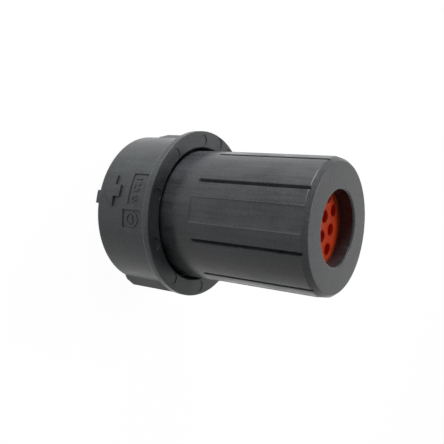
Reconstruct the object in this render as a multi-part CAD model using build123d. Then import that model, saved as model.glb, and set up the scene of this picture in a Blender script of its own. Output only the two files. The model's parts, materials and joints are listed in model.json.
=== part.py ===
from build123d import *
import math
import os

# Circular nine-way plug with a quarter-turn bayonet ring, millimetres.
# It stands on the rim of its mating nose at z = 0, and its wires leave upwards, along +Z.

# The pins that it mates with, and the wires: every radius is worked out from these two and the walls
pin_radius = 0.8
wire_radius = 1.05

# Socket contact and the sleeve on its front
socket_wall = 0.4
socket_slot_width = 0.3
socket_bore_depth = 6.5
socket_slot_depth = 5.2
contact_front = 3.6
contact_length = 21.4
collar_step = 0.4
collar_thickness = 1.0
crimp_wall = 0.45
crimp_bore_gap = 0.05  # the crimp barrel's bore over the pin's radius
crimp_bore_depth = 6.3
sleeve_gap = 0.02
sleeve_wall = 0.16
sleeve_length = 8.0
socket_radius = pin_radius + socket_wall
crimp_bore_radius = pin_radius + crimp_bore_gap
sleeve_radius = socket_radius + sleeve_gap + sleeve_wall
collar_radius = socket_radius + collar_step
crimp_radius = crimp_bore_radius + crimp_wall

# Cavities, three columns of three in a close-packed pattern
middle_column_shift = 0.5  # of a pitch
pin_clearance = 0.15
contact_clearance = 0.15
sleeve_clearance = 0.12
cavity_wall = 0.69
cavity_turn = 85.0  # degrees of the pattern about Z
pin_hole_radius = pin_radius + pin_clearance
socket_room_radius = sleeve_radius + sleeve_clearance
collar_room_radius = collar_radius + contact_clearance
collar_room_height = 2.0
crimp_room_radius = crimp_radius + contact_clearance
cavity_pitch = 2 * collar_room_radius + cavity_wall

# Wire seal
wire_seal_clearance = 0.05
wire_seal_valley = 0.45
wire_mouth_gap = 0.23
wire_lip_squeeze = 0.1
wire_chamber_gap = 0.25
wire_mouth_radius = wire_radius + wire_mouth_gap
wire_lip_radius = wire_radius - wire_lip_squeeze
wire_chamber_radius = wire_radius + wire_chamber_gap
wire_mouth_depth = 1.3
wire_lip_length = 1.0
wire_lip_count = 2

# Shell
total_length = 51.5  # nose rim to the flat rear face
nose_wall = 1.6
nose_rim_chamfer = 0.3
insert_ledge = 2.1  # inner shoulder that the insert stack is pushed up to
insert_seat_height = 33.0
shoulder_height = 12.0  # where the nose steps out to the rear body
shoulder_step = 2.5
body_end_chamfer = 0.85
body_end_length = 1.1  # of the chamfered stretch
entry_margin = 0.335  # between the outermost wire and the open mouth's wall
entry_lip = 0.4  # the mouth's lip over the wire seal's edge
entry_edge_round = 0.5
entry_depth = 3.38  # rear face down to the wire seal
entry_radius = (1 + middle_column_shift) * cavity_pitch + wire_mouth_radius + entry_margin
seal_bore_radius = entry_radius + entry_lip
nose_bore_radius = seal_bore_radius + insert_ledge
nose_radius = nose_bore_radius + nose_wall
body_radius = nose_radius + shoulder_step

# Grip flutes of the rear body
flute_sides = 4
groove_spread = 26.0  # degrees either side of a flat's middle
groove_width = 1.1
groove_depth = 0.55
groove_start_gap = 7.4  # above the ring's back face
groove_end_gap = 0.8  # below the rear face
flat_depth = 0.26
flat_start_gap = 7.2  # the flats run out through the rear face

# Keyways of the nose, as angle and width
main_key_width = 3.0
side_key_width = 1.7
side_key_angles = (75.0, 140.0, 220.0, 285.0)  # from the main keyway
main_key_angle = 270.0
keyway_depth = 0.8
keyway_length = 5.0

# Coupling ring
ring_turn = -7.6  # degrees that the ring sits back from the body's own marks
ring_front = 0.85  # the ring's front rim lies this far above the nose rim
ring_length = 16.2
mating_gap = 3.3  # room for the mating shell between the nose and the drum
drum_wall = 1.95
flange_thickness = 1.9
flange_fillet = 1.1
flange_edge_round = 0.6
flange_back_round = 0.2
flange_step = 0.05  # plain stretch between the fillet and the rounded edge
ring_rim_chamfer = 0.35
ring_hole_gap = 0.65  # between the ring's back and the rear body
web_thickness = 2.0  # inner wall that runs on the nose
web_play = 0.1  # end play under the shell's shoulder
journal_clearance = 0.1  # radial, web on nose
ring_bore_radius = nose_radius + mating_gap
ring_hole_radius = body_radius + ring_hole_gap
drum_radius = ring_bore_radius + drum_wall
flange_radius = drum_radius + flange_fillet + flange_step + flange_edge_round

# Grip ridges on the drum
ridge_angles = (0.0, 180.0)
ridge_rise = 1.55
ridge_crest_width = 0.8
ridge_spread = 8.5  # degrees, half of the foot
ridge_chamfer = 0.75
ridge_chamfer_length = 1.25

# Arrow, tab and the two bare fields on the drum, angles measured on the ring
arrow_angle = 270.0
arrow_tip_gap = 1.8  # above the ring's front rim
arrow_head_length = 3.15
arrow_head_width = 7.0
arrow_shaft_width = 2.6
arrow_shaft_length = 1.8
arrow_rise = 0.5
tab_angle = 275.5
tab_width = 3.0
tab_reach = 0.7
tab_wall = 1.4
tab_inset = 0.06  # its outer face lies this far under the drum's
field_depth = 0.2
wide_field_angles = (255.5, 277.0)
wide_field_gaps = (3.4, 7.5)  # below the ring's back face
small_field_angles = (281.5, 296.5)
small_field_gaps = (3.7, 8.7)

# Bayonet grooves inside the ring
bayonet_count = 3
bayonet_turn = 90.0  # degrees from unlocked to locked
bayonet_groove_depth = 1.0
bayonet_groove_width = 3.2
bayonet_start_height = 2.4  # groove's middle above the front rim, at its start
bayonet_rise = 3.3
bayonet_ramp_angle = 78.0
bayonet_first_angle = 30.0
bayonet_pocket_radius = 1.75

# Stop that limits the ring's turn
stop_angle = 90.0
stop_half_angle = 7.0
stop_rise = 1.1
stop_clearance = 0.3

# Retaining ring and wave washer that hold the coupling ring on the nose
clip_thickness = 0.9
clip_seat_depth = 0.55
clip_width = 1.8
clip_gap_half_angle = 10.0
clip_ear_radius = 1.1
clip_ear_hole_radius = 0.5
clip_clearance = 0.05
washer_room = 1.15  # between the web and the retaining ring
washer_thickness = 0.3
washer_waves = 3
washer_width = 1.9
washer_clearance = 0.25  # radial, on the nose
washer_web_gap = 0.1

# Seal round the nose
nose_seal_length = 2.2
nose_seal_gap = 0.25  # below the retaining ring
nose_seal_rise = 1.0
nose_seal_valley = 0.5
nose_seal_ribs = 2

# Insert stack inside the nose
insert_clearance = 0.1
snap_bead_height = 6.5
snap_bead_rise = 0.25
snap_bead_width = 1.0
index_rib_width = 1.6
index_rib_rise = 0.7
index_clearance = 0.1
index_angle = 45.0
face_recess = 0.9  # nose rim up to the face seal's plain surface
face_seal_thickness = 1.5
face_boss_rise = 0.35
face_boss_wall = 0.5
front_insert_top = 14.0
retention_plate_thickness = 3.5
tine_slot_width = 0.4
seal_flange_thickness = 2.0

# How far a cutting or joining block runs past the surface that it works on
overlap = 0.5

# Places that follow from the sizes above
ring_back = ring_front + ring_length
web_top = shoulder_height - web_play
web_bottom = web_top - web_thickness
clip_top = web_bottom - washer_room
clip_bottom = clip_top - clip_thickness
seal_face_height = total_length - entry_depth
journal_radius = nose_radius + journal_clearance
insert_radius = nose_bore_radius - insert_clearance
face_seal_top = face_recess + face_seal_thickness
plate_top = front_insert_top + retention_plate_thickness
seal_flange_bottom = insert_seat_height - seal_flange_thickness
groove_bottom = ring_back + groove_start_gap
groove_top = total_length - groove_end_gap
flat_bottom = ring_back + flat_start_gap
flat_top = total_length + overlap
stop_outer_radius = nose_radius + stop_rise
clip_inner_radius = nose_radius - clip_seat_depth + clip_clearance
clip_outer_radius = clip_inner_radius + clip_width
ridge_radius = drum_radius + ridge_rise


# A turned solid: the outline is given as radius and height, with rounded and cut corners by size
def turned(outline, rounds=(), chamfers=(), arc=360):
    face = make_face(Polyline(*outline, close=True))
    for corner, radius in rounds:
        face = fillet(nearest_corner(face, corner), radius)
    for corner, length in chamfers:
        face = chamfer(nearest_corner(face, corner), length)
    return revolve(Plane.XZ * face, Axis.Z, arc)


def nearest_corner(face, corner):
    return face.vertices().sort_by_distance((corner[0], corner[1], 0))[0]


# A block between two radii, two heights and two angles
def arc_block(inner, outer, low, high, start, end):
    outline = [(inner, low), (outer, low), (outer, high), (inner, high)]
    return Rot(0, 0, start) * turned(outline, arc=end - start)


# The plane that touches a cylinder at an angle: its x runs round the part and its y runs up
def outside_plane(radius, angle):
    turn = math.radians(angle)
    out = Vector(math.cos(turn), math.sin(turn), 0)
    return Plane(origin=out * radius, x_dir=(-out.Y, out.X, 0), z_dir=out)


def on_circle(radius, angle):
    turn = math.radians(angle)
    return radius * math.cos(turn), radius * math.sin(turn)


# The nine cavity centres
def cavity_places():
    places = []
    for column in (-1, 0, 1):
        x = column * cavity_pitch * math.sqrt(3) / 2
        shift = middle_column_shift if column == 0 else 0
        for row in (1, 0, -1):
            spot = Vector(x, (row + shift) * cavity_pitch, 0).rotate(Axis.Z, cavity_turn)
            places.append((spot.X, spot.Y))
    return places


# A groove cut along the rear body, with rounded ends
def grip_groove(angle):
    length = groove_top - groove_bottom
    plane = outside_plane(body_radius - groove_depth, angle)
    outline = Pos(0, groove_bottom + length / 2) * Rot(0, 0, 90) * SlotOverall(length, groove_width)
    return extrude(plane * outline, 2 * groove_depth)


# A flat cut along the rear body
def grip_flat(angle):
    plane = outside_plane(body_radius - flat_depth, angle)
    outline = Pos(0, (flat_bottom + flat_top) / 2) * Rectangle(body_radius, flat_top - flat_bottom)
    return extrude(plane * outline, 2)


def keyway(angle, width):
    plane = outside_plane(nose_radius - keyway_depth, angle)
    outline = Pos(0, keyway_length / 2) * Rectangle(width, keyway_length)
    return extrude(plane * outline, 2 * keyway_depth)


# The rib that stops the insert stack from turning, made wider for the slots that it runs in
def index_rib(clearance):
    low = face_seal_top if clearance == 0 else 0
    plane = outside_plane(nose_bore_radius - index_rib_rise - clearance, index_angle)
    height = seal_flange_bottom - low
    outline = Pos(0, low + height / 2) * Rectangle(index_rib_width + 2 * clearance, height)
    return extrude(plane * outline, index_rib_rise + clearance + overlap)


def plug_shell():
    clip_seat_radius = nose_radius - clip_seat_depth
    rim = nose_radius - nose_rim_chamfer
    bead = nose_bore_radius + snap_bead_rise
    bead_low = snap_bead_height - snap_bead_width / 2
    bead_high = snap_bead_height + snap_bead_width / 2
    outline = [
        (nose_bore_radius, 0),
        (rim, 0),
        (nose_radius, nose_rim_chamfer),
        (nose_radius, clip_bottom - clip_clearance),
        (clip_seat_radius, clip_bottom - clip_clearance),
        (clip_seat_radius, clip_top + clip_clearance),
        (nose_radius, clip_top + clip_clearance),
        (nose_radius, shoulder_height),
        (body_radius, shoulder_height),
        (body_radius, total_length - body_end_length),
        (body_radius - body_end_chamfer, total_length),
        (entry_radius, total_length),
        (entry_radius, seal_face_height),
        (seal_bore_radius, seal_face_height),
        (seal_bore_radius, insert_seat_height),
        (nose_bore_radius, insert_seat_height),
        (nose_bore_radius, bead_high),
        (bead, snap_bead_height),
        (nose_bore_radius, bead_low),
    ]
    shell = turned(outline, [((entry_radius, total_length), entry_edge_round)])
    for side in range(flute_sides):
        middle = main_key_angle + side * 360 / flute_sides
        shell -= grip_flat(middle)
        shell -= grip_groove(middle - groove_spread)
        shell -= grip_groove(middle + groove_spread)
    shell -= keyway(main_key_angle, main_key_width)
    for angle in side_key_angles:
        shell -= keyway(main_key_angle + angle, side_key_width)
    shell += index_rib(0) & Cylinder(nose_bore_radius + nose_wall / 2, 2 * total_length)
    shell += arc_block(
        nose_radius - overlap,
        stop_outer_radius,
        web_bottom + web_play,
        shoulder_height + overlap,
        stop_angle - stop_half_angle,
        stop_angle + stop_half_angle,
    )
    return shell


# One bayonet groove: straight in from the rim, up a ramp, and a pocket that the pin drops into
def bayonet_groove(angle):
    middle_radius = ring_bore_radius + bayonet_groove_depth / 2
    width = bayonet_groove_width
    depth = 2 * bayonet_groove_depth
    start = ring_front + bayonet_start_height
    end = start + bayonet_rise
    pitch = bayonet_rise * 360 / bayonet_ramp_angle
    ramp = Pos(0, 0, start) * Helix(pitch, bayonet_rise, middle_radius)
    section = Plane(origin=ramp @ 0, x_dir=(1, 0, 0), z_dir=(0, 1, 0)) * Rectangle(depth, width)
    channel = sweep(section, ramp, normal=(0, 0, 1))
    way_in = Pos(0, (start + width / 2) / 2) * Rectangle(width, start + width / 2)
    pocket_plane = outside_plane(middle_radius - depth / 2, bayonet_ramp_angle)
    pocket = extrude(pocket_plane * Pos(0, end) * Circle(bayonet_pocket_radius), depth)
    entry = extrude(outside_plane(middle_radius - depth / 2, 0) * way_in, depth)
    limit = Cylinder(ring_bore_radius + bayonet_groove_depth, 4 * ring_length)
    return Rot(0, 0, angle) * ((channel + entry + pocket) & limit)


# A long ridge on the drum, sloped on both sides and chamfered at the front
def grip_ridge(angle):
    foot_x, foot_y = on_circle(drum_radius, ridge_spread)
    half = ridge_crest_width / 2
    root = drum_radius - drum_wall / 2
    outline = [
        (root, -foot_y),
        (foot_x, -foot_y),
        (ridge_radius, -half),
        (ridge_radius, half),
        (foot_x, foot_y),
        (root, foot_y),
    ]
    length = ring_length - flange_thickness / 2
    slope_length = ridge_chamfer_length * (ridge_chamfer + overlap) / ridge_chamfer
    bar = Pos(0, 0, ring_front) * extrude(make_face(Polyline(*outline, close=True)), length)
    limit = turned(
        [
            (0, ring_front),
            (ridge_radius - ridge_chamfer, ring_front),
            (ridge_radius + overlap, ring_front + slope_length),
            (ridge_radius + overlap, ring_back),
            (0, ring_back),
        ]
    )
    return Rot(0, 0, angle) * (bar & limit)


# The raised arrow that points at the mating end
def drum_arrow():
    tip = ring_front + arrow_tip_gap
    base = tip + arrow_head_length
    tail = base + arrow_shaft_length
    head = arrow_head_width / 2
    shaft = arrow_shaft_width / 2
    outline = [
        (0, tip),
        (head, base),
        (shaft, base),
        (shaft, tail),
        (-shaft, tail),
        (-shaft, base),
        (-head, base),
    ]
    face = make_face(Polyline(*outline, close=True))
    block = extrude(outside_plane(ring_bore_radius, arrow_angle) * face, 2 * drum_wall)
    outside = Cylinder(drum_radius + arrow_rise, 4 * ring_length)
    inside = Cylinder(drum_radius - overlap, 4 * ring_length)
    return block & (outside - inside)


def drum_field(angles, gaps):
    low = ring_back - gaps[1]
    high = ring_back - gaps[0]
    return arc_block(drum_radius - field_depth, flange_radius, low, high, angles[0], angles[1])


def coupling_ring():
    flange_low = ring_back - flange_thickness
    outline = [
        (ring_bore_radius, ring_front),
        (drum_radius, ring_front),
        (drum_radius, flange_low),
        (flange_radius, flange_low),
        (flange_radius, ring_back),
        (ring_hole_radius, ring_back),
        (ring_hole_radius, web_top),
        (journal_radius, web_top),
        (journal_radius, web_bottom),
        (ring_bore_radius, web_bottom),
    ]
    rounds = [
        ((drum_radius, flange_low), flange_fillet),
        ((flange_radius, flange_low), flange_edge_round),
        ((flange_radius, ring_back), flange_back_round),
    ]
    chamfers = [
        ((ring_bore_radius, ring_front), ring_rim_chamfer),
        ((drum_radius, ring_front), ring_rim_chamfer),
        ((ring_hole_radius, ring_back), ring_rim_chamfer),
    ]
    ring = turned(outline, rounds, chamfers)
    for angle in ridge_angles:
        ring += grip_ridge(angle)
    half_tab = math.degrees(tab_width / 2 / drum_radius)
    ring += arc_block(
        drum_radius - tab_inset - tab_wall,
        drum_radius - tab_inset,
        ring_front - tab_reach,
        ring_front + 2 * ring_rim_chamfer,
        tab_angle - half_tab,
        tab_angle + half_tab,
    )
    ring -= drum_field(wide_field_angles, wide_field_gaps)
    ring -= drum_field(small_field_angles, small_field_gaps)
    ring += drum_arrow()
    for number in range(bayonet_count):
        ring -= bayonet_groove(bayonet_first_angle + number * 360 / bayonet_count)
    ring = Rot(0, 0, ring_turn) * ring
    margin = math.degrees(stop_clearance / stop_outer_radius)
    ring -= arc_block(
        journal_radius - overlap,
        stop_outer_radius + stop_clearance,
        web_bottom - overlap,
        web_top + overlap,
        stop_angle - stop_half_angle - margin,
        stop_angle + stop_half_angle + margin + bayonet_turn,
    )
    return ring


# Half of one wave, from trough to crest, as radial sections joined smoothly
def half_wave(low, high, inner, outer):
    steps = 6
    span = 180 / washer_waves
    sections = []
    for step in range(steps + 1):
        share = step / steps
        height = (low + high) / 2 - (high - low) / 2 * math.cos(math.pi * share)
        middle = Plane(
            origin=Vector((inner + outer) / 2, 0, height).rotate(Axis.Z, share * span),
            x_dir=Vector(1, 0, 0).rotate(Axis.Z, share * span),
            z_dir=Vector(0, 1, 0).rotate(Axis.Z, share * span),
        )
        sections.append(middle * Rectangle(outer - inner, washer_thickness))
    return loft(sections)


def wave_washer():
    inner = nose_radius + washer_clearance
    outer = inner + washer_width
    low = clip_top + washer_thickness / 2 + clip_clearance
    high = web_bottom - washer_thickness / 2 - washer_web_gap
    rise = half_wave(low, high, inner, outer)
    wave = rise + Rot(0, 0, 360 / washer_waves) * mirror(rise, Plane.XZ)
    washer = wave
    for number in range(1, washer_waves):
        washer += Rot(0, 0, number * 360 / washer_waves) * wave
    return washer


# A snap ring with two ears, sprung into the groove round the nose
def retaining_ring():
    band = arc_block(
        clip_inner_radius,
        clip_outer_radius,
        clip_bottom,
        clip_top,
        stop_angle + clip_gap_half_angle,
        stop_angle + 360 - clip_gap_half_angle,
    )
    for side in (-1, 1):
        angle = stop_angle + side * (clip_gap_half_angle + math.degrees(clip_ear_radius / clip_outer_radius))
        place = Pos(*on_circle(clip_outer_radius, angle), (clip_bottom + clip_top) / 2)
        band += place * Cylinder(clip_ear_radius, clip_thickness)
        band -= place * Cylinder(clip_ear_hole_radius, 2 * clip_thickness)
    return band


def peripheral_seal():
    inner = nose_radius + wire_seal_clearance
    crest = nose_radius + nose_seal_rise
    valley = nose_radius + nose_seal_valley
    top = clip_bottom - nose_seal_gap
    bottom = top - nose_seal_length
    step = nose_seal_length / (2 * nose_seal_ribs)
    outline = [(inner, bottom), (valley, bottom)]
    for number in range(nose_seal_ribs):
        outline.append((crest, bottom + (2 * number + 1) * step))
        outline.append((valley, bottom + (2 * number + 2) * step))
    outline.append((inner, top))
    return turned(outline)


# A round plate of the insert stack, with its slot for the index rib
def insert_disc(low, high):
    return Pos(0, 0, (low + high) / 2) * Cylinder(insert_radius, high - low) - index_rib(index_clearance)


def drilled(solid, radius, low, high):
    for x, y in cavity_places():
        solid -= Pos(x, y, (low + high) / 2) * Cylinder(radius, high - low)
    return solid


# The soft front face, with a raised boss round each pin hole
def face_seal():
    seal = insert_disc(face_recess, face_seal_top)
    boss_low = face_recess - face_boss_rise
    boss_high = face_recess + face_seal_thickness / 2
    boss = Cylinder(pin_hole_radius + face_boss_wall, boss_high - boss_low)
    for x, y in cavity_places():
        seal += Pos(x, y, (boss_low + boss_high) / 2) * boss
    return drilled(seal, pin_hole_radius, boss_low - overlap, face_seal_top + overlap)


def front_insert():
    insert = insert_disc(face_seal_top, front_insert_top)
    bead = turned(
        [
            (insert_radius - overlap, snap_bead_height - snap_bead_width / 2),
            (insert_radius, snap_bead_height - snap_bead_width / 2),
            (insert_radius + snap_bead_rise, snap_bead_height),
            (insert_radius, snap_bead_height + snap_bead_width / 2),
            (insert_radius - overlap, snap_bead_height + snap_bead_width / 2),
        ]
    )
    insert += bead - index_rib(index_clearance)
    insert = drilled(insert, pin_hole_radius, face_seal_top - overlap, contact_front)
    return drilled(insert, socket_room_radius, contact_front - insert_clearance, front_insert_top + overlap)


# The plate whose slotted collars hold each contact behind its shoulder
def retention_plate():
    plate = insert_disc(front_insert_top, plate_top)
    collar_top = front_insert_top + collar_room_height
    plate = drilled(plate, collar_room_radius, front_insert_top - overlap, collar_top)
    plate = drilled(plate, crimp_room_radius, front_insert_top, plate_top + overlap)
    height = plate_top - collar_top
    slot = Box(2 * collar_room_radius, tine_slot_width, 2 * height)
    for x, y in cavity_places():
        plate -= Pos(x, y, plate_top) * slot
    return plate


def rear_insert():
    insert = insert_disc(plate_top, seal_flange_bottom)
    return drilled(insert, crimp_room_radius, plate_top - overlap, seal_flange_bottom + overlap)


# One wire passage as a solid: a plain mouth, then soft lips with wider chambers between them
def wire_passage():
    low = seal_flange_bottom - overlap
    high = seal_face_height + overlap
    first_lip = seal_face_height - wire_mouth_depth
    spacing = (first_lip - seal_flange_bottom) / (wire_lip_count + 1)
    outline = [(0, high), (wire_mouth_radius, high), (wire_mouth_radius, first_lip)]
    for number in range(wire_lip_count):
        lip_top = first_lip - number * spacing
        outline.append((wire_lip_radius, lip_top))
        outline.append((wire_lip_radius, lip_top - wire_lip_length))
        outline.append((wire_chamber_radius, lip_top - wire_lip_length))
        if number < wire_lip_count - 1:
            outline.append((wire_chamber_radius, lip_top - spacing))
    return turned(outline + [(wire_chamber_radius, low), (0, low)])


# The soft seal: a flange in the nose, and a round body with two broad ribs in the rear body's bore
def wire_seal():
    outer = seal_bore_radius - wire_seal_clearance
    valley = outer - wire_seal_valley
    bottom = insert_seat_height
    step = (seal_face_height - bottom) / 5
    outline = [
        (0, seal_flange_bottom),
        (insert_radius, seal_flange_bottom),
        (insert_radius, bottom),
        (valley, bottom),
        (valley, bottom + step),
        (outer, bottom + step),
        (outer, bottom + 2 * step),
        (valley, bottom + 2 * step),
        (valley, bottom + 4 * step),
        (outer, bottom + 4 * step),
        (outer, seal_face_height),
        (0, seal_face_height),
    ]
    seal = turned(outline) - index_rib(index_clearance)
    passage = wire_passage()
    for x, y in cavity_places():
        seal -= Pos(x, y, 0) * passage
    return seal


# One crimp contact: slotted socket in front, a retention collar, and a crimp barrel behind
def socket_contact():
    collar_low = front_insert_top
    collar_high = collar_low + collar_thickness
    back = contact_front + contact_length
    bore_end = contact_front + socket_bore_depth
    crimp_end = back - crimp_bore_depth
    outline = [
        (pin_radius, contact_front),
        (socket_radius, contact_front),
        (socket_radius, collar_low),
        (collar_radius, collar_low),
        (collar_radius, collar_high),
        (crimp_radius, collar_high),
        (crimp_radius, back),
        (crimp_bore_radius, back),
        (crimp_bore_radius, crimp_end),
        (0, crimp_end),
        (0, bore_end),
        (pin_radius, bore_end),
    ]
    slot = Box(4 * socket_radius, socket_slot_width, 2 * socket_slot_depth)
    return turned(outline) - Pos(0, 0, contact_front) * slot


def contact_sleeve():
    inner = socket_radius + sleeve_gap
    top = contact_front + sleeve_length
    return turned([(inner, contact_front), (sleeve_radius, contact_front), (sleeve_radius, top), (inner, top)])


def build():
    parts = {
        "plug_shell": plug_shell(),
        "coupling_ring": coupling_ring(),
        "wave_washer": wave_washer(),
        "retaining_ring": retaining_ring(),
        "peripheral_seal": peripheral_seal(),
        "face_seal": face_seal(),
        "front_insert": front_insert(),
        "retention_plate": retention_plate(),
        "rear_insert": rear_insert(),
        "wire_seal": wire_seal(),
    }
    contact = socket_contact()
    sleeve = contact_sleeve()
    for number, (x, y) in enumerate(cavity_places(), start=1):
        parts[f"socket_contact_{number}"] = Pos(x, y, 0) * contact
        parts[f"contact_sleeve_{number}"] = Pos(x, y, 0) * sleeve
    return parts


os.makedirs("parts", exist_ok=True)
for node, solid in build().items():
    export_step(solid, f"parts/{node}.step")
    print(node, round(solid.volume, 2))
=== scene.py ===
import json
import math
import bmesh
import bpy
from mathutils import Matrix, Vector


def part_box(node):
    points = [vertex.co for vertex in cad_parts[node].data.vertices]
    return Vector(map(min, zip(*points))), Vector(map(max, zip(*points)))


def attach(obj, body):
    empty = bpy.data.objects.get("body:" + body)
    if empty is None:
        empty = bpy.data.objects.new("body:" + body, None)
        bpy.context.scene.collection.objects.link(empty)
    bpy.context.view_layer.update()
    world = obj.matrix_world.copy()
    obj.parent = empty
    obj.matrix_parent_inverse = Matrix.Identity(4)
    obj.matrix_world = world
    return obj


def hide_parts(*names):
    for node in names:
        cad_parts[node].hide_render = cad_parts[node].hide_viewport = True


# Circular nine-way plug with a bayonet ring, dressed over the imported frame
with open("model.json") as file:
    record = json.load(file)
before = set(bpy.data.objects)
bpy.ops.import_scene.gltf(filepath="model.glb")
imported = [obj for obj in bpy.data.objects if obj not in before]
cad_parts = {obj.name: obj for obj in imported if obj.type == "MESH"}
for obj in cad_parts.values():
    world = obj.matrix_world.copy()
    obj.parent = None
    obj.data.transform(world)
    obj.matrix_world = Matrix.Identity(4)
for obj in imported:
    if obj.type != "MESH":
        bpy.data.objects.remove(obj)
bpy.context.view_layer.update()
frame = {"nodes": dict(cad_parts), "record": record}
nodes = frame["nodes"]
mounts = {mount["name"]: mount for mount in frame["record"]["mounts"]}
mm = 0.001
print("Frame loaded")


# Boxes of the frame's nodes, in millimetres
def boxOf(node):
    low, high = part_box(node)
    return low / mm, high / mm


shellHigh = boxOf("plug_shell")[1]
ringHigh = boxOf("coupling_ring")[1]
sealLow, sealHigh = boxOf("wire_seal")
washerHigh = boxOf("wave_washer")[1]
clipLow, clipHigh = boxOf("retaining_ring")


# Selecting and finishing
def pickOnly(piece):
    if bpy.context.mode != "OBJECT":
        bpy.ops.object.mode_set(mode="OBJECT")
    bpy.ops.object.select_all(action="DESELECT")
    piece.select_set(True)
    bpy.context.view_layer.objects.active = piece


def selectPoints(piece, wanted):
    cage = bmesh.from_edit_mesh(piece.data)
    cage.select_mode = {"VERT"}
    bpy.ops.mesh.select_all(action="DESELECT")
    for vert in cage.verts:
        if wanted(vert.co / mm):
            vert.select_set(True)
    cage.select_flush_mode()
    bmesh.update_edit_mesh(piece.data)


# Fills the wire that was just drawn, so that it can be extruded or spun
def fillProfile():
    bpy.ops.mesh.select_all(action="SELECT")
    bpy.ops.mesh.edge_face_add()


def closeMesh():
    bpy.ops.mesh.select_all(action="SELECT")
    bpy.ops.mesh.normals_make_consistent(inside=False)
    bpy.ops.object.mode_set(mode="OBJECT")


# Moves a piece by millimetres and turns it by degrees, and puts its origin back
def settle(piece, place=(0, 0, 0), turn=(0, 0, 0)):
    pickOnly(piece)
    piece.location = Vector(place) * mm
    piece.rotation_euler = [math.radians(angle) for angle in turn]
    bpy.ops.object.transform_apply(location=True, rotation=True, scale=True)


def joinPieces(pieces):
    pickOnly(pieces[0])
    for piece in pieces:
        piece.select_set(True)
    bpy.ops.object.join()
    return pieces[0]


def addModifier(piece, kind, **settings):
    pickOnly(piece)
    modifier = piece.modifiers.new(kind.title(), kind)
    for name, value in settings.items():
        setattr(modifier, name, value)
    bpy.ops.object.modifier_apply(modifier=modifier.name)


def cutWith(piece, cutters, operation="DIFFERENCE"):
    for cutter in cutters:
        addModifier(piece, "BOOLEAN", object=cutter, operation=operation, solver="EXACT")
        bpy.data.objects.remove(cutter)


def finishPiece(piece, body, material, smoothAngle=32):
    pickOnly(piece)
    bpy.ops.object.transform_apply(location=True, rotation=True, scale=True)
    bpy.ops.object.shade_smooth_by_angle(angle=math.radians(smoothAngle))
    addModifier(piece, "WEIGHTED_NORMAL", keep_sharp=True, weight=60)
    piece.data.materials.clear()
    piece.data.materials.append(material)
    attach(piece, body)


# A closed wire of radius and height points, drawn by extruding one vertex in the XZ plane
def drawProfile(name, outline, rounds=()):
    startR, startZ = outline[0]
    pickOnly(nodes["plug_shell"])
    bpy.ops.object.select_all(action="DESELECT")
    bpy.ops.mesh.primitive_plane_add(size=mm, location=(startR * mm, 0, startZ * mm))
    piece = bpy.context.active_object
    piece.name = name
    bpy.ops.object.transform_apply(location=True, rotation=True, scale=True)
    bpy.ops.object.mode_set(mode="EDIT")
    bpy.ops.mesh.merge(type="CENTER")
    here = outline[0]
    for point in list(outline[1:]) + [outline[0]]:
        step = ((point[0] - here[0]) * mm, 0, (point[1] - here[1]) * mm)
        bpy.ops.mesh.extrude_region_move(TRANSFORM_OT_translate={"value": step})
        here = point
    bpy.ops.mesh.select_all(action="SELECT")
    bpy.ops.mesh.remove_doubles(threshold=0.001 * mm)
    for corner, radius, segments in rounds:
        selectPoints(piece, lambda co: math.hypot(co.x - corner[0], co.z - corner[1]) < 0.002)
        bpy.ops.mesh.bevel(offset=radius * mm, segments=segments, affect="VERTICES")
    return piece


# Turns the wire round Z in stretches of (degrees, steps), then welds and closes it
def turnProfile(stretches):
    bpy.ops.mesh.select_all(action="SELECT")
    for degrees, steps in stretches:
        bpy.ops.mesh.spin(steps=steps, angle=math.radians(-degrees), center=(0, 0, 0), axis=(0, 0, 1))
    bpy.ops.mesh.select_all(action="SELECT")
    bpy.ops.mesh.remove_doubles(threshold=0.004 * mm)
    bpy.ops.mesh.normals_make_consistent(inside=False)


def turnedPiece(name, outline, rounds=(), steps=128):
    piece = drawProfile(name, outline, rounds)
    turnProfile([(360, steps)])
    bpy.ops.object.mode_set(mode="OBJECT")
    return piece


# Columns between the angles in a sorted list, none wider than the widest step
def stretchesBetween(angles, widest):
    stretches = []
    for start, end in zip(angles, angles[1:]):
        if end - start > 0.02:
            stretches.append((end - start, max(1, math.ceil((end - start) / widest))))
    return stretches


# Moves a wall's vertices in or out to a wanted radius, all those with the same change at once
def reshapeWall(piece, onWall, wantedRadius):
    groups = {}
    cage = bmesh.from_edit_mesh(piece.data)
    cage.verts.index_update()
    for vert in cage.verts:
        radius = math.hypot(vert.co.x, vert.co.y) / mm
        height = vert.co.z / mm
        if not onWall(radius, height):
            continue
        angle = math.degrees(math.atan2(vert.co.y, vert.co.x)) % 360
        factor = round(wantedRadius(angle, height, radius) / radius, 5)
        if factor != 1:
            groups.setdefault(factor, []).append(vert.index)
    for factor, members in groups.items():
        cage = bmesh.from_edit_mesh(piece.data)
        cage.select_mode = {"VERT"}
        bpy.ops.mesh.select_all(action="DESELECT")
        cage.verts.ensure_lookup_table()
        for index in members:
            cage.verts[index].select_set(True)
        bmesh.update_edit_mesh(piece.data)
        bpy.ops.transform.resize(value=(factor, factor, 1), center_override=(0, 0, 0))
    print("  reshaped", piece.name, "in", len(groups), "moves")


# A block cutter or block that faces outwards at an angle, between two radii and two heights
def blockAt(angle, inner, outer, width, low, high):
    bpy.ops.object.select_all(action="DESELECT")
    bpy.ops.mesh.primitive_cube_add(size=1)
    block = bpy.context.active_object
    block.scale = ((outer - inner) * mm, width * mm, (high - low) * mm)
    settle(block, ((inner + outer) / 2, 0, (low + high) / 2))
    settle(block, turn=(0, 0, angle))
    return block


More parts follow.
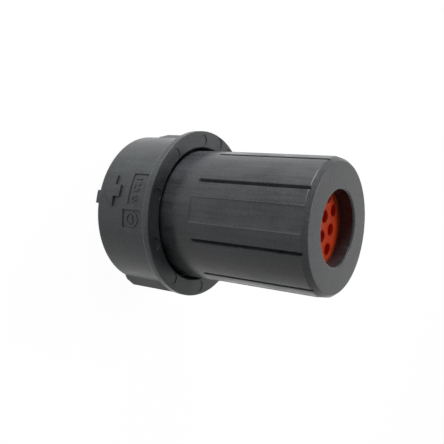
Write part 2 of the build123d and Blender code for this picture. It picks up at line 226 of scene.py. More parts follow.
# A curved block between two radii, two heights and two angles
def arcBlock(name, inner, outer, low, high, start, end, steps=24):
    piece = drawProfile(name, [(inner, low), (outer, low), (outer, high), (inner, high)])
    fillProfile()
    bpy.ops.mesh.spin(steps=steps, angle=math.radians(start - end), center=(0, 0, 0), axis=(0, 0, 1))
    closeMesh()
    settle(piece, turn=(0, 0, start))
    return piece


def smoothStep(low, high, value):
    share = min(1, max(0, (value - low) / (high - low)))
    return share * share * (3 - 2 * share)


# Node groups
def startGroup(name, inputs, outputs):
    group = bpy.data.node_groups.new(name, "ShaderNodeTree")
    for label, kind, value in inputs:
        socket = group.interface.new_socket(name=label, in_out="INPUT", socket_type="NodeSocket" + kind)
        socket.default_value = value
    for label, kind in outputs:
        group.interface.new_socket(name=label, in_out="OUTPUT", socket_type="NodeSocket" + kind)
    return group, group.nodes.new("NodeGroupInput"), group.nodes.new("NodeGroupOutput")


def addNode(tree, kind, links=(), **values):
    node = tree.nodes.new("ShaderNode" + kind)
    for name, value in values.items():
        node.inputs[name.replace("_", " ")].default_value = value
    for socket, source in dict(links).items():
        tree.links.new(source, node.inputs[socket])
    return node


# The result of a sum on two sockets, or on a socket and a number
def addMath(tree, operation, first, second):
    node = addNode(tree, "Math", {0: first})
    node.operation = operation
    if isinstance(second, (int, float)):
        node.inputs[1].default_value = second
    else:
        tree.links.new(second, node.inputs[1])
    return node.outputs[0]


# A noise's middle values spread over the whole of 0 to 1
def spreadNoise(tree, noise):
    spread = addNode(tree, "MapRange", {"Value": noise.outputs["Fac"]}, From_Min=0.32, From_Max=0.68)
    return spread.outputs["Result"]


# Moulded plastic: cloudy colour, flow streaks along the part, fine spark-eroded grain
def buildMouldedSkin():
    group, given, out = startGroup(
        "mouldedSkin",
        [
            ("Colour", "Color", (0.1, 0.1, 0.1, 1)),
            ("Cloud", "Float", 0.15),
            ("Cloud Scale", "Float", 160),
            ("Streak", "Float", 0.22),
            ("Speckle", "Float", 0.3),
            ("Speckle Scale", "Float", 2300),
            ("Grain Scale", "Float", 3400),
            ("Gloss Low", "Float", 0.35),
            ("Gloss High", "Float", 0.5),
        ],
        [("Colour", "Color"), ("Roughness", "Float"), ("Height", "Float")],
    )
    place = addNode(group, "TexCoord").outputs["Object"]
    longWay = addNode(group, "Mapping", {"Vector": place}, Scale=(1, 1, 0.05)).outputs["Vector"]
    cloudScale, speckleScale, grainScale = (
        given.outputs[label] for label in ("Cloud Scale", "Speckle Scale", "Grain Scale")
    )
    cloud = addNode(group, "TexNoise", {"Vector": place, "Scale": cloudScale}, Detail=3, Roughness=0.55)
    streak = addNode(group, "TexNoise", {"Vector": longWay}, Scale=1500, Detail=2)
    speckle = addNode(group, "TexNoise", {"Vector": place, "Scale": speckleScale}, Detail=3, Roughness=0.6)
    grain = addNode(group, "TexNoise", {"Vector": place, "Scale": grainScale}, Detail=2, Roughness=0.6)
    cloudSpread = spreadNoise(group, cloud)
    level = 1
    for spread, amount in (
        (cloudSpread, "Cloud"),
        (spreadNoise(group, streak), "Streak"),
        (spreadNoise(group, speckle), "Speckle"),
    ):
        centred = addMath(group, "SUBTRACT", spread, 0.5)
        level = addMath(group, "ADD", addMath(group, "MULTIPLY", centred, given.outputs[amount]), level)
    tint = addNode(group, "VectorMath", {0: given.outputs["Colour"]})
    tint.operation = "SCALE"
    group.links.new(level, tint.inputs["Scale"])
    gloss = addNode(
        group,
        "MapRange",
        {
            "Value": cloudSpread,
            "To Min": given.outputs["Gloss Low"],
            "To Max": given.outputs["Gloss High"],
        },
    )
    group.links.new(tint.outputs["Vector"], out.inputs["Colour"])
    group.links.new(gloss.outputs["Result"], out.inputs["Roughness"])
    group.links.new(grain.outputs["Fac"], out.inputs["Height"])
    return group


# Drawn or turned metal: fine lines round the piece and slight tarnish
def buildMetalFinish():
    group, given, out = startGroup(
        "metalFinish",
        [
            ("Colour", "Color", (0.6, 0.6, 0.6, 1)),
            ("Tarnish", "Color", (0.4, 0.36, 0.3, 1)),
            ("Tarnish Amount", "Float", 0.3),
            ("Line Scale", "Float", 9000),
            ("Gloss Low", "Float", 0.2),
            ("Gloss High", "Float", 0.4),
        ],
        [("Colour", "Color"), ("Roughness", "Float"), ("Height", "Float")],
    )
    place = addNode(group, "TexCoord").outputs["Object"]
    cloud = addNode(group, "TexNoise", {"Vector": place}, Scale=420, Detail=4)
    flat = addNode(group, "Mapping", {"Vector": place}, Scale=(0.03, 0.03, 1)).outputs["Vector"]
    lines = addNode(group, "TexNoise", {"Vector": flat, "Scale": given.outputs["Line Scale"]}, Detail=2)
    amount = addMath(group, "MULTIPLY", cloud.outputs["Fac"], given.outputs["Tarnish Amount"])
    colour = addNode(
        group,
        "MixRGB",
        {"Fac": amount, "Color1": given.outputs["Colour"], "Color2": given.outputs["Tarnish"]},
    )
    gloss = addNode(
        group,
        "MapRange",
        {
            "Value": lines.outputs["Fac"],
            "To Min": given.outputs["Gloss Low"],
            "To Max": given.outputs["Gloss High"],
        },
        From_Min=0.3,
        From_Max=0.7,
    )
    group.links.new(colour.outputs["Color"], out.inputs["Colour"])
    group.links.new(gloss.outputs["Result"], out.inputs["Roughness"])
    group.links.new(lines.outputs["Fac"], out.inputs["Height"])
    return group


mouldedSkin = buildMouldedSkin()
metalFinish = buildMetalFinish()


# A material that places one of the groups under its own Principled shader
def coatedMaterial(name, group, values, shader):
    material = bpy.data.materials.new(name)
    material.use_nodes = True
    tree = material.node_tree
    principled = tree.nodes["Principled BSDF"]
    for socket, value in shader.items():
        principled.inputs[socket].default_value = value
    finish = tree.nodes.new("ShaderNodeGroup")
    finish.node_tree = group
    for socket, value in values.items():
        finish.inputs[socket].default_value = value
    strength, depth = reliefs[name]
    height = {"Height": finish.outputs["Height"]}
    relief = addNode(tree, "Bump", height, Strength=strength, Distance=depth * mm)
    tree.links.new(finish.outputs["Colour"], principled.inputs["Base Color"])
    tree.links.new(finish.outputs["Roughness"], principled.inputs["Roughness"])
    tree.links.new(relief.outputs["Normal"], principled.inputs["Normal"])
    return material


plasticLooks = {
    "shellPlastic": {
        "Colour": (0.058, 0.061, 0.066, 1),
        "Cloud": 0.34,
        "Streak": 0.4,
        "Speckle": 0.4,
        "Gloss Low": 0.2,
        "Gloss High": 0.4,
    },
    "ringPlastic": {
        "Colour": (0.066, 0.072, 0.075, 1),
        "Cloud": 0.4,
        "Speckle": 0.4,
        "Gloss Low": 0.26,
        "Gloss High": 0.46,
    },
    "insertPlastic": {"Colour": (0.012, 0.012, 0.014, 1), "Cloud": 0.3, "Gloss Low": 0.4, "Gloss High": 0.55},
}
siliconeLook = {
    "Colour": (0.86, 0.062, 0.004, 1),
    "Cloud": 0.2,
    "Streak": 0.05,
    "Speckle": 0.2,
    "Cloud Scale": 260,
    "Gloss Low": 0.42,
    "Gloss High": 0.55,
}
metalLooks = {
    "contactPlating": {"Colour": (0.72, 0.66, 0.52, 1), "Tarnish": (0.42, 0.3, 0.14, 1)},
    "sleeveSteel": {"Colour": (0.6, 0.6, 0.6, 1), "Tarnish": (0.4, 0.38, 0.35, 1)},
    "springSteel": {"Colour": (0.42, 0.42, 0.43, 1), "Tarnish": (0.25, 0.22, 0.2, 1), "Tarnish Amount": 0.5},
}
plasticShader = {"IOR": 1.41}
siliconeShader = {"IOR": 1.3, "Subsurface Weight": 0.08, "Subsurface Scale": 0.0004}
metalShader = {"Metallic": 1.0}
# strength and depth in mm of each material's relief
reliefs = {
    "shellPlastic": (0.35, 0.03),
    "ringPlastic": (0.5, 0.03),
    "insertPlastic": (0.2, 0.03),
    "sealSilicone": (0.1, 0.03),
    "contactPlating": (0.1, 0.01),
    "sleeveSteel": (0.15, 0.01),
    "springSteel": (0.15, 0.01),
}
materials = {"sealSilicone": coatedMaterial("sealSilicone", mouldedSkin, siliconeLook, siliconeShader)}
for name, look in plasticLooks.items():
    materials[name] = coatedMaterial(name, mouldedSkin, look, plasticShader)
for name, look in metalLooks.items():
    materials[name] = coatedMaterial(name, metalFinish, look, metalShader)
print("Materials ready")


# Shell: nose, fluted rear body and open mouth in one moulding
shell = {
    "bodyRadius": shellHigh.x,
    "length": shellHigh.z,
    "noseRadius": mounts["mating_nose"]["dims"]["r_mm"],
    "entryRadius": mounts["wire_entry"]["dims"]["r_mm"],
    "noseBore": 10.4,
    "sealBore": 8.3,
    "insertSeat": sealLow.z + 2,
    "shoulder": 12.0,
    "noseChamfer": 0.3,
    "noseBoreRound": 0.15,
    "shoulderRound": 0.25,
    "clipSeatDepth": 0.55,
    "clipSeatGap": 0.05,
    "rearChamfer": 0.85,
    "rearChamferLength": 1.1,
    "rearSoftening": 0.16,
    # points down the rear chamfer, as distances in from the body's wall
    "rearChamferPoints": (0.18, 0.25, 0.31, 0.38),
    "mouthRound": 0.5,
    # rows of points on the plain stretch and along the grooves
    "plainRows": [16, 22],
    "grooveRows": [30, 35, 40, 45],
    "closestRows": 0.05,
    # how far in from the wall a point is still part of it
    "wallBand": 0.7,
    "grooveCentre": 26.0,
    # (across towards the round stretch, depth)
    "grooveSection": [
        (-0.46, 0.0), (-0.4, 0.05), (-0.33, 0.3), (-0.26, 0.66), (-0.12, 0.74),
        (0.02, 0.68), (0.2, 0.46), (0.38, 0.16), (0.46, 0.03), (0.56, 0.0),
    ],
    "grooveLow": 24.3,
    "grooveHigh": 50.9,
    "grooveTaper": 0.6,
    "grooveTaperRows": (0, 0.2, 0.4, 0.6, 0.8, 1),
    "flatHalfAngle": 10.9,
    "flatDepth": 0.27,
    "flatLow": 24.25,
    "flatEndSlope": 0.3,
    "flatBead": 0.07,
    "flatBeadHalf": 0.14,
    "flatBeadRows": (-1, -0.5, 0, 0.5, 1),
    "widestColumn": 2.0,
    "mainKey": (270, 3.0),
    "sideKeys": [(345, 1.7), (50, 1.7), (130, 1.7), (195, 1.7)],
    "keyDepth": 0.8,
    "keyLength": 5.0,
    "stopAngle": 90,
    "stopHalfAngle": 7,
    "stopRise": 1.1,
    "stopRoot": 0.3,
    "stopWasherGap": 0.2,
    "stopBevel": 0.1,
}


def degreesFromFlat(angle):
    return abs((angle + 45) % 90 - 45)


def shellWallRadius(angle, height, radius):
    s = shell
    off = degreesFromFlat(angle)
    depth = 0
    across = (off - s["grooveCentre"]) * math.radians(1) * s["bodyRadius"]
    section = s["grooveSection"]
    for (nearAcross, nearDepth), (farAcross, farDepth) in zip(section, section[1:]):
        if nearAcross - 0.001 <= across <= farAcross:
            share = (across - nearAcross) / (farAcross - nearAcross)
            depth = nearDepth + (farDepth - nearDepth) * share
    fromEnd = min(height - s["grooveLow"], s["grooveHigh"] - height)
    depth *= smoothStep(0, s["grooveTaper"], fromEnd)
    if off < s["flatHalfAngle"]:
        plane = (s["bodyRadius"] - s["flatDepth"]) / math.cos(math.radians(off))
        share = smoothStep(0, s["flatEndSlope"], height - s["flatLow"])
        depth = max(0, s["bodyRadius"] - plane) * share
    if radius < s["bodyRadius"] - 0.001:
        return min(radius, s["bodyRadius"] - depth)
    outside = max((off - s["flatHalfAngle"]) * math.radians(1) * s["bodyRadius"], s["flatLow"] - height)
    bead = s["flatBead"] * max(0, 1 - (outside / s["flatBeadHalf"]) ** 2)
    return s["bodyRadius"] - depth + bead


def buildShell():
    s = shell
    body = s["bodyRadius"]
    rows = s["plainRows"] + s["grooveRows"] + [s["flatLow"] + s["flatEndSlope"]]
    rows += [s["flatLow"] + share * s["flatBeadHalf"] for share in s["flatBeadRows"]]
    rows += [s["grooveLow"] + share * s["grooveTaper"] for share in s["grooveTaperRows"][1:]]
    rows += [s["grooveHigh"] - share * s["grooveTaper"] for share in s["grooveTaperRows"]]
    edge = s["length"] - s["rearChamferLength"]
    rows = sorted(row for row in rows if row < edge - 0.2)
    kept = [rows[0]]
    for row in rows[1:]:
        if row - kept[-1] > s["closestRows"]:
            kept.append(row)
    seat = s["noseRadius"] - s["clipSeatDepth"]
    clipLowZ = clipLow.z - s["clipSeatGap"]
    clipHighZ = clipHigh.z + s["clipSeatGap"]
    nose = s["noseRadius"]
    outline = [(s["noseBore"], 0), (nose - s["noseChamfer"], 0), (nose, s["noseChamfer"])]
    outline += [(nose, s["keyLength"]), (nose, clipLowZ), (seat, clipLowZ), (seat, clipHighZ)]
    outline += [(nose, clipHighZ), (nose, s["shoulder"]), (body, s["shoulder"])]
    outline += [(body, row) for row in kept]
    outline += [(body, edge)]
    slope = s["rearChamferLength"] / s["rearChamfer"]
    outline += [(body - step, edge + step * slope) for step in s["rearChamferPoints"]]
    outline += [(body - s["rearChamfer"], s["length"])]
    outline += [(s["entryRadius"], s["length"]), (s["entryRadius"], sealHigh.z)]
    outline += [(s["sealBore"], sealHigh.z), (s["sealBore"], s["insertSeat"])]
    outline += [(s["noseBore"], s["insertSeat"])]
    rounds = [
        ((body, edge), s["rearSoftening"], 3),
        ((body - s["rearChamfer"], s["length"]), s["rearSoftening"], 3),
        ((s["entryRadius"], s["length"]), s["mouthRound"], 5),
        ((body, s["shoulder"]), s["shoulderRound"], 2),
        ((s["noseBore"], 0), s["noseBoreRound"], 2),
    ]
    piece = drawProfile("shell", outline, rounds)
    perMm = math.degrees(1 / body)
    marks = {0, 45}
    marks.update(s["flatHalfAngle"] + share * s["flatBeadHalf"] * perMm for share in s["flatBeadRows"])
    marks.update(s["grooveCentre"] + across * perMm for across, depth in s["grooveSection"])
    half = sorted(marks)
    quarter = half + [90 - mark for mark in reversed(half[:-1])]
    turnProfile(stretchesBetween(quarter, s["widestColumn"]) * 4)
    reshapeWall(
        piece,
        lambda radius, height: radius > body - s["wallBand"] and height > s["shoulder"] + 1,
        shellWallRadius,
    )
    bpy.ops.object.mode_set(mode="OBJECT")
    cutters = []
    for angle, width in [s["mainKey"]] + s["sideKeys"]:
        cutters.append(blockAt(angle, nose - s["keyDepth"], nose + 1, width, -1, s["keyLength"] - 0.01))
    cutWith(piece, cutters)
    finishPiece(piece, "plug", materials["shellPlastic"])
    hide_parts("plug_shell")


# The lug behind the washer that runs in the ring's notch and stops its turn
def buildStopLug():
    s = shell
    inner, outer = s["noseRadius"] - s["stopRoot"], s["noseRadius"] + s["stopRise"]
    low, high = washerHigh.z + s["stopWasherGap"], s["shoulder"] + 0.1
    start, end = s["stopAngle"] - s["stopHalfAngle"], s["stopAngle"] + s["stopHalfAngle"]
    lug = arcBlock("stopLug", inner, outer, low, high, start, end)
    addModifier(lug, "BEVEL", width=s["stopBevel"] * mm, segments=2, limit_method="ANGLE")
    finishPiece(lug, "plug", materials["shellPlastic"])


buildShell()
buildStopLug()
print("Shell built")


# Coupling ring: drum with two ridges, arrow, fields and tab, flange, and bayonet grooves inside
ring = {
    "turn": -7.6,
    "front": 0.85,
    "back": ringHigh.z,
    "flangeRadius": ringHigh.x,
    "flangeThickness": 1.9,
    "drumRadius": 17.25,
    "boreRadius": 15.3,
    "holeRadius": shellHigh.x + 0.65,
    "webTop": 11.9,
    "webBottom": 9.9,
    "journal": 12.1,
    "flangeFillet": 1.1,
    "flangeRound": 0.62,
    "backRound": 0.2,
    "rimRound": 0.4,
    "ridges": [0, 180],
    "ridgeRadius": 18.8,
    "ridgeCrest": 0.8,
    "ridgeSpread": 8.5,
    "ridgeChamfer": 0.75,
    "ridgeChamferLength": 1.25,
    # columns of points either side of a ridge's middle, and either side of its crest's edge
    "ridgeColumns": [2.5, 4, 5.5, 7, 8, 8.5, 9],
    "crestColumn": 0.4,
    "plainRows": [3.65, 6],
    "wallBand": 0.45,
    "fieldDepth": 0.28,
    # (from, to) in degrees and (from, to) in height
    "fields": [(255.5, 280.0, 9.55, 13.65), (282.8, 297.0, 8.35, 13.35)],
    "fieldEdge": 0.12,
    "widestColumn": 2.0,
    # (angle, radius)
    "pinMarks": [(270 + 36 * number, 16.9) for number in range(10)] + [(177, 17.3)],
    "pinMarkRadius": 1.35,
    "pinMarkDepth": 0.14,
    "grooves": [30, 150, 270],
    "grooveDepth": 1.0,
    "grooveWidth": 3.2,
    "grooveStart": 2.4,
    "grooveRise": 3.3,
    # keeps the straight entry's faces off the ramp's: inner, outer and upper offsets
    "entryOffsets": (0.07, -0.02, 0.013),
    "rampAngle": 78,
    "rampSteps": 39,
    "pocketRadius": 1.75,
    "notch": (82, 188),
    "notchRadius": shell["noseRadius"] + shell["stopRise"] + 0.3,
    "arrowAngle": 270,
    "arrow": [(0, 2.45), (3.5, 5.5), (1.3, 5.5), (1.3, 7.2), (-1.3, 7.2), (-1.3, 5.5), (-3.5, 5.5)],
    "arrowRise": 0.5,
    "arrowRoot": 0.4,
    "arrowBevel": 0.12,
    # the sleeve that the arrow is cut from: degrees to either side, and heights
    "sleeveHalfAngle": 18,
    "sleeveHeights": (1, 10),
    # the arrow's prism, from this radius outwards
    "prismRadius": 15.6,
    "prismLength": 4,
    "tabAngle": 275.5,
    "tabWidth": 3.0,
    "tabReach": 0.7,
    "tabWall": 1.4,
    "tabInset": 0.06,
    "tabRoot": 0.7,
    "tabBevel": 0.14,
}


def ringWallRadius(angle, height, radius):
    r = ring
    wanted = radius
    for middle in r["ridges"]:
        off = abs((angle - middle + 180) % 360 - 180)
        crestHalf = math.degrees(r["ridgeCrest"] / 2 / r["ridgeRadius"])
        if off > r["ridgeSpread"]:
            continue
        spread = math.radians(r["ridgeSpread"])
        foot = Vector((math.cos(spread), math.sin(spread))) * r["drumRadius"]
        crest = Vector((r["ridgeRadius"], r["ridgeCrest"] / 2))
        slope = crest - foot
        out = Vector((math.cos(math.radians(off)), math.sin(math.radians(off))))
        if off < crestHalf:
            reach = r["ridgeRadius"] / out.x
        else:
            reach = (foot.x * slope.y - foot.y * slope.x) / (out.x * slope.y - out.y * slope.x)
        lean = r["ridgeChamfer"] / r["ridgeChamferLength"]
        reach = min(reach, r["ridgeRadius"] - r["ridgeChamfer"] + max(0, height - r["front"]) * lean)
        wanted = max(wanted, reach)
    for start, end, low, high in r["fields"]:
        edge = math.degrees(r["fieldEdge"] / r["drumRadius"])
        inAngle = smoothStep(0, edge, min(angle - start, end - angle))
        inHeight = smoothStep(0, r["fieldEdge"], min(height - low, high - height))
        wanted -= r["fieldDepth"] * inAngle * inHeight
    return wanted


def buildRing():
    r = ring
    drum = r["drumRadius"]
    flangeLow = r["back"] - r["flangeThickness"]
    rows = r["plainRows"] + [r["front"] + r["ridgeChamferLength"] * share for share in (0.6, 1)]
    for start, end, low, high in r["fields"]:
        rows += [low, low + r["fieldEdge"] / 2, low + r["fieldEdge"]]
        rows += [high, high - r["fieldEdge"] / 2, high - r["fieldEdge"]]
    outline = [(r["boreRadius"], r["front"]), (drum, r["front"])]
    outline += [(drum, row) for row in sorted(rows)]
    outline += [(drum, flangeLow), (r["flangeRadius"], flangeLow), (r["flangeRadius"], r["back"])]
    outline += [(r["holeRadius"], r["back"]), (r["holeRadius"], r["webTop"]), (r["journal"], r["webTop"])]
    outline += [(r["journal"], r["webBottom"]), (r["boreRadius"], r["webBottom"])]
    rounds = [
        ((r["boreRadius"], r["front"]), r["rimRound"], 3),
        ((drum, r["front"]), r["rimRound"], 4),
        ((drum, flangeLow), r["flangeFillet"], 8),
        ((r["flangeRadius"], flangeLow), r["flangeRound"], 5),
        ((r["flangeRadius"], r["back"]), r["backRound"], 3),
        ((r["holeRadius"], r["back"]), r["rimRound"], 3),
    ]
    piece = drawProfile("couplingRing", outline, rounds)
    marks = {0, 360}
    crestHalf = math.degrees(r["ridgeCrest"] / 2 / r["ridgeRadius"])
    for middle in r["ridges"]:
        crest = [0, crestHalf - r["crestColumn"], crestHalf, crestHalf + r["crestColumn"]]
        for off in crest + r["ridgeColumns"]:
            marks.add((middle + off) % 360)
            marks.add((middle - off) % 360)
    edge = math.degrees(r["fieldEdge"] / drum)
    for start, end, low, high in r["fields"]:
        marks.update((start, start + edge / 2, start + edge, end, end - edge / 2, end - edge))
    turnProfile(stretchesBetween(sorted(marks), r["widestColumn"]))
    reshapeWall(
        piece,
        lambda radius, height: radius > drum - r["wallBand"] and height < flangeLow + 0.01,
        ringWallRadius,
    )
    bpy.ops.object.mode_set(mode="OBJECT")
    return piece


# Copies of a cutter turned to several angles, as one object
def cutterSet(makeCutter, angles):
    parts = []
    for angle in angles:
        cutter = makeCutter()
        cutter.rotation_euler = (0, 0, math.radians(angle))
        parts.append(cutter)
    joined = joinPieces(parts)
    bpy.ops.object.transform_apply(location=True, rotation=True, scale=True)
    return joined


# The rising stretch of a bayonet groove, one section extruded and turned a step at a time
def rampCutter():
    r = ring
    low = r["front"] + r["grooveStart"] - r["grooveWidth"] / 2
    high = low + r["grooveWidth"]
    inner = r["boreRadius"] - 1
    outer = r["boreRadius"] + r["grooveDepth"]
    cutter = drawProfile("rampCutter", [(inner, low), (outer, low), (outer, high), (inner, high)])
    fillProfile()
    step = r["grooveRise"] / r["rampSteps"] * mm
    turn = math.radians(r["rampAngle"] / r["rampSteps"])
    for number in range(r["rampSteps"]):
        bpy.ops.mesh.extrude_region_move(TRANSFORM_OT_translate={"value": (0, 0, step)})
        bpy.ops.transform.rotate(value=-turn, orient_axis="Z", center_override=(0, 0, 0))
    closeMesh()
    return cutter


def entryCutter():
    r = ring
    inward, outward, upward = r["entryOffsets"]
    inner = r["boreRadius"] - 1 - inward
    outer = r["boreRadius"] + r["grooveDepth"] + outward
    top = r["front"] + r["grooveStart"] + r["grooveWidth"] / 2 + upward
    return blockAt(0, inner, outer, r["grooveWidth"], -1, top)


def pocketCutter():
    r = ring
    bpy.ops.object.select_all(action="DESELECT")
    height = r["front"] + r["grooveStart"] + r["grooveRise"]
    middle = r["boreRadius"] + r["grooveDepth"] - 1
    bpy.ops.mesh.primitive_cylinder_add(vertices=48, radius=r["pocketRadius"] * mm, depth=2 * mm)
    cutter = bpy.context.active_object
    settle(cutter, (middle, 0, height), (0, 90, 0))
    return cutter


def markCutter(angle, radius):
    r = ring
    bpy.ops.object.select_all(action="DESELECT")
    depth = 2 * r["pinMarkDepth"] * mm
    bpy.ops.mesh.primitive_cylinder_add(vertices=40, radius=r["pinMarkRadius"] * mm, depth=depth)
    cutter = bpy.context.active_object
    turn = math.radians(angle)
    settle(cutter, (radius * math.cos(turn), radius * math.sin(turn), r["back"]))
    return cutter


def turnWithRing(piece):
    settle(piece, turn=(0, 0, ring["turn"]))


def cutRing(piece):
    r = ring
    ends = [angle + r["rampAngle"] for angle in r["grooves"]]
    cutters = [cutterSet(entryCutter, r["grooves"]), cutterSet(pocketCutter, ends)]
    cutters.append(cutterSet(rampCutter, r["grooves"]))
    cutters.append(joinPieces([markCutter(angle, radius) for angle, radius in r["pinMarks"]]))
    cutWith(piece, cutters)
    turnWithRing(piece)
    start, end = r["notch"]
    low, high = r["webBottom"] - 0.5, r["webTop"] + 0.5
    notch = arcBlock("notchCutter", r["journal"] - 0.5, r["notchRadius"], low, high, start, end, 53)
    cutWith(piece, [notch])


def softenEdges(piece, width):
    limit = math.radians(30)
    addModifier(piece, "BEVEL", width=width * mm, segments=3, limit_method="ANGLE", angle_limit=limit)


# The raised block arrow, cut from a thin sleeve on the drum
def buildArrow():
    r = ring
    prism = drawProfile("arrow", r["arrow"])
    fillProfile()
    bpy.ops.mesh.extrude_region_move(TRANSFORM_OT_translate={"value": (0, -r["prismLength"] * mm, 0)})
    closeMesh()
    settle(prism, (0, -r["prismRadius"], 0), (0, 0, r["arrowAngle"] - 270))
    inner, outer = r["drumRadius"] - r["arrowRoot"], r["drumRadius"] + r["arrowRise"]
    low, high = r["sleeveHeights"]
    start, end = r["arrowAngle"] - r["sleeveHalfAngle"], r["arrowAngle"] + r["sleeveHalfAngle"]
    cutWith(prism, [arcBlock("sleeve", inner, outer, low, high, start, end, 24)], "INTERSECT")
    softenEdges(prism, r["arrowBevel"])
    turnWithRing(prism)
    finishPiece(prism, "ring", materials["ringPlastic"])


def buildTab():
    r = ring
    half = math.degrees(r["tabWidth"] / 2 / r["drumRadius"])
    outer = r["drumRadius"] - r["tabInset"]
    low, high = r["front"] - r["tabReach"], r["front"] + r["tabRoot"]
    start, end = r["tabAngle"] - half, r["tabAngle"] + half
    tab = arcBlock("frontTab", outer - r["tabWall"], outer, low, high, start, end, 8)
    softenEdges(tab, r["tabBevel"])
    turnWithRing(tab)
    finishPiece(tab, "ring", materials["ringPlastic"])


# Lays a piece drawn flat, its face up, on the drum at an angle and a height
def layOnDrum(piece, angle, height, radius):
    settle(piece, (0, -radius, height), (90, 0, 0))
    settle(piece, turn=(0, 0, angle - 270))


# Plain raised numbers in the upper field and a plain dial with a pointer in the lower one
fieldMarks = {
    "numbers": "12345",
    "firstAngle": 259.5,
    "angleStep": 4.1,
    "height": 11.1,
    "size": 2.3,
    "stroke": 0.03,
    "rise": 0.16,
    "dial": (289.9, 10.9),
    "dialInner": 1.25,
    "dialOuter": 1.62,
    "dialRound": 0.08,
    "pointer": [(-0.9, -0.22), (0.2, -0.22), (0.2, -0.62), (1.0, 0), (0.2, 0.62), (0.2, 0.22), (-0.9, 0.22)],
}


def buildFieldMarks():
    f = fieldMarks
    floor = ring["drumRadius"] - ring["fieldDepth"]
    parts = []
    for number, mark in enumerate(f["numbers"]):
        bpy.ops.object.select_all(action="DESELECT")
        bpy.ops.object.text_add()
        digit = bpy.context.active_object
        digit.data.body = mark
        digit.data.size = f["size"] * mm
        digit.data.extrude = f["rise"] * mm
        digit.data.offset = f["stroke"] * mm
        digit.data.align_x = "CENTER"
        digit.data.align_y = "CENTER"
        digit.data.resolution_u = 3
        bpy.ops.object.convert(target="MESH")
        layOnDrum(digit, f["firstAngle"] + number * f["angleStep"], f["height"], floor)
        parts.append(digit)
    inner, outer, rise = f["dialInner"], f["dialOuter"], f["rise"]
    rim = [(inner, -rise), (outer, -rise), (outer, rise), (inner, rise)]
    dialAngle, dialHeight = f["dial"]
    soft = f["dialRound"]
    dial = turnedPiece("dial", rim, [((inner, rise), soft, 2), ((outer, rise), soft, 2)], 40)
    layOnDrum(dial, dialAngle, dialHeight, floor)
    pointer = drawProfile("pointer", f["pointer"])
    fillProfile()
    bpy.ops.mesh.extrude_region_move(TRANSFORM_OT_translate={"value": (0, -2 * rise * mm, 0)})
    closeMesh()
    settle(pointer, (0, rise - floor, dialHeight))
    settle(pointer, turn=(0, 0, dialAngle - 270))
    marks = joinPieces(parts + [dial, pointer])
    marks.name = "fieldMarks"
    bpy.ops.object.mode_set(mode="EDIT")
    bpy.ops.mesh.select_all(action="SELECT")
    bpy.ops.mesh.remove_doubles(threshold=0.002 * mm)
    closeMesh()
    turnWithRing(marks)
    finishPiece(marks, "ring", materials["ringPlastic"])


couplingRing = buildRing()
cutRing(couplingRing)
finishPiece(couplingRing, "ring", materials["ringPlastic"])
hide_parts("coupling_ring")
buildArrow()
buildTab()
buildFieldMarks()
print("Ring built")


# Wire seal: round silicone body with nine passages
def holePlaces():
    boxes = [boxOf("socket_contact_%d" % number) for number in range(1, 10)]
    return [((low.x + high.x) / 2, (low.y + high.y) / 2) for low, high in boxes]


wireSealSizes = {
    "outer": 8.25,
    "flange": 10.3,
    "valley": 7.8,
    "bodyHeight": 3.03,
    # one passage as (radius, depth): flare, mouth, soft lip and the chamber behind it
    "bore": [
        (0.001, -0.5), (1.52, -0.5), (1.52, -0.001), (1.37, 0.06), (1.27, 0.22), (1.24, 0.5),
        (1.24, 1.3), (0.95, 1.6), (0.95, 2.4), (1.24, 2.8), (1.24, 6.0), (0.001, 6.0),
    ],
}


def buildWireSeal():
    w = wireSealSizes
    bottom = shell["insertSeat"]
    top = sealHigh.z
    step = top - w["bodyHeight"]
    outline = [(0.001, sealLow.z), (w["flange"], sealLow.z), (w["flange"], bottom), (w["valley"], bottom)]
    outline += [(w["valley"], step), (w["outer"], step), (w["outer"], top), (0.001, top)]
    piece = turnedPiece("wireSeal", outline, steps=96)
    cutters = []
    for x, y in holePlaces():
        cutter = turnedPiece("bore", [(radius, top - depth) for radius, depth in w["bore"]], steps=48)
        settle(cutter, (x, y, 0))
        cutters.append(cutter)
    cutWith(piece, cutters)
    finishPiece(piece, "plug", materials["sealSilicone"], 40)
    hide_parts("wire_seal")


buildWireSeal()
print("Wire seal built")


# The frame's own nodes that stay in view get their materials
def dressNode(name, material):
    node = nodes[name]
    for slot in node.material_slots:
        slot.link = "OBJECT"
        slot.material = material


for number in range(1, 10):
    dressNode("socket_contact_%d" % number, materials["contactPlating"])
    dressNode("contact_sleeve_%d" % number, materials["sleeveSteel"])
for name in ("wave_washer", "retaining_ring"):
    dressNode(name, materials["springSteel"])
for name in ("peripheral_seal", "face_seal"):
    dressNode(name, materials["sealSilicone"])
for name in ("front_insert", "retention_plate", "rear_insert"):
    dressNode(name, materials["insertPlastic"])
print("Frame nodes dressed")


# Studio: white floor, soft lamps, camera
studio = {
    "floorRadius": 3.0,
    "floorDrop": 0.1,
    "floorColour": (0.8, 0.8, 0.8, 1),
    "floorRoughness": 0.8,
    # how white the floor is where it is seen directly, and how much of that covers its shadows
    "floorGlow": 1.08,
    "floorGlowShare": 0.9,
    "world": 0.04,
    "lamps": {
        # name: (place in mm, aimed at in mm, width and height in mm, watts)
        "keyLamp": ((-305, -92, 56), (0, 0, 25), (150, 150), 0.76),
        "sideLamp": ((-232, -218, 36), (0, 0, 25), (120, 120), 0.3),
        "wireEndLamp": ((-100, 125, 300), (0, 0, 40), (150, 150), 0.29),
    },
}


# One for rays from the camera and for mirror and glass rays, nothing for the light that falls on things
def seenDirectly(tree):
    path = addNode(tree, "LightPath")
    seen = addMath(tree, "MAXIMUM", path.outputs["Is Camera Ray"], path.outputs["Is Glossy Ray"])
    return addMath(tree, "MAXIMUM", seen, path.outputs["Is Transmission Ray"])


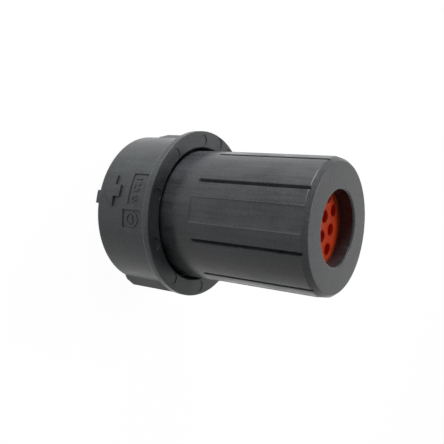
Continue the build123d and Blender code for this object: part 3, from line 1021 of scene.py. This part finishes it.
def buildFloor():
    bpy.ops.object.select_all(action="DESELECT")
    bpy.ops.mesh.primitive_circle_add(vertices=96, radius=studio["floorRadius"], fill_type="NGON")
    floor = bpy.context.active_object
    floor.name = "studioFloor"
    settle(floor, (0, 0, -studio["floorDrop"]))
    material = bpy.data.materials.new("paleFloor")
    material.use_nodes = True
    tree = material.node_tree
    principled = tree.nodes["Principled BSDF"]
    principled.inputs["Base Color"].default_value = studio["floorColour"]
    principled.inputs["Roughness"].default_value = studio["floorRoughness"]
    light = addNode(tree, "Emission", Color=(1, 1, 1, 1), Strength=studio["floorGlow"])
    share = addMath(tree, "MULTIPLY", seenDirectly(tree), studio["floorGlowShare"])
    mix = addNode(tree, "MixShader", {0: share, 1: principled.outputs[0], 2: light.outputs[0]})
    tree.links.new(mix.outputs[0], tree.nodes["Material Output"].inputs["Surface"])
    floor.data.materials.append(material)


def buildWorld():
    world = bpy.data.worlds.new("studioWorld")
    bpy.context.scene.world = world
    world.use_nodes = True
    tree = world.node_tree
    tree.nodes.clear()
    out = addNode(tree, "OutputWorld")
    dim = addNode(tree, "Background", Color=(1, 1, 1, 1), Strength=studio["world"])
    white = addNode(tree, "Background", Color=(1, 1, 1, 1), Strength=1.0)
    mix = addNode(tree, "MixShader", {0: seenDirectly(tree), 1: dim.outputs[0], 2: white.outputs[0]})
    tree.links.new(mix.outputs[0], out.inputs["Surface"])


def buildLamps():
    for name, (place, target, size, watts) in studio["lamps"].items():
        data = bpy.data.lights.new(name, "AREA")
        data.shape = "RECTANGLE"
        data.size = size[0] * mm
        data.size_y = size[1] * mm
        data.energy = watts
        lamp = bpy.data.objects.new(name, data)
        bpy.context.collection.objects.link(lamp)
        lamp.location = Vector(place) * mm
        aim = (Vector(target) - Vector(place)).to_track_quat("-Z", "Y")
        lamp.rotation_euler = aim.to_euler()


# The photograph's viewpoint, fitted to the plug's circles
camera = {
    "place": (6.757, -125.968, 107.47),
    "right": (-0.13394, 0.54757, 0.82598),
    "up": (-0.99035, -0.10409, -0.09159),
    "lens": 54.41,
}


def buildCamera():
    data = bpy.data.cameras.new("photoCamera")
    data.sensor_width = 36
    data.lens = camera["lens"]
    data.clip_start = 0.01
    data.clip_end = 20
    viewer = bpy.data.objects.new("photoCamera", data)
    bpy.context.collection.objects.link(viewer)
    right = Vector(camera["right"]).normalized()
    up = Vector(camera["up"]).normalized()
    back = right.cross(up)
    turn = Matrix((right, up, back)).transposed().to_4x4()
    viewer.matrix_world = Matrix.Translation(Vector(camera["place"]) * mm) @ turn
    bpy.context.scene.camera = viewer


buildFloor()
buildWorld()
buildLamps()
buildCamera()
bpy.context.scene.view_settings.view_transform = "Standard"
print("Studio ready")
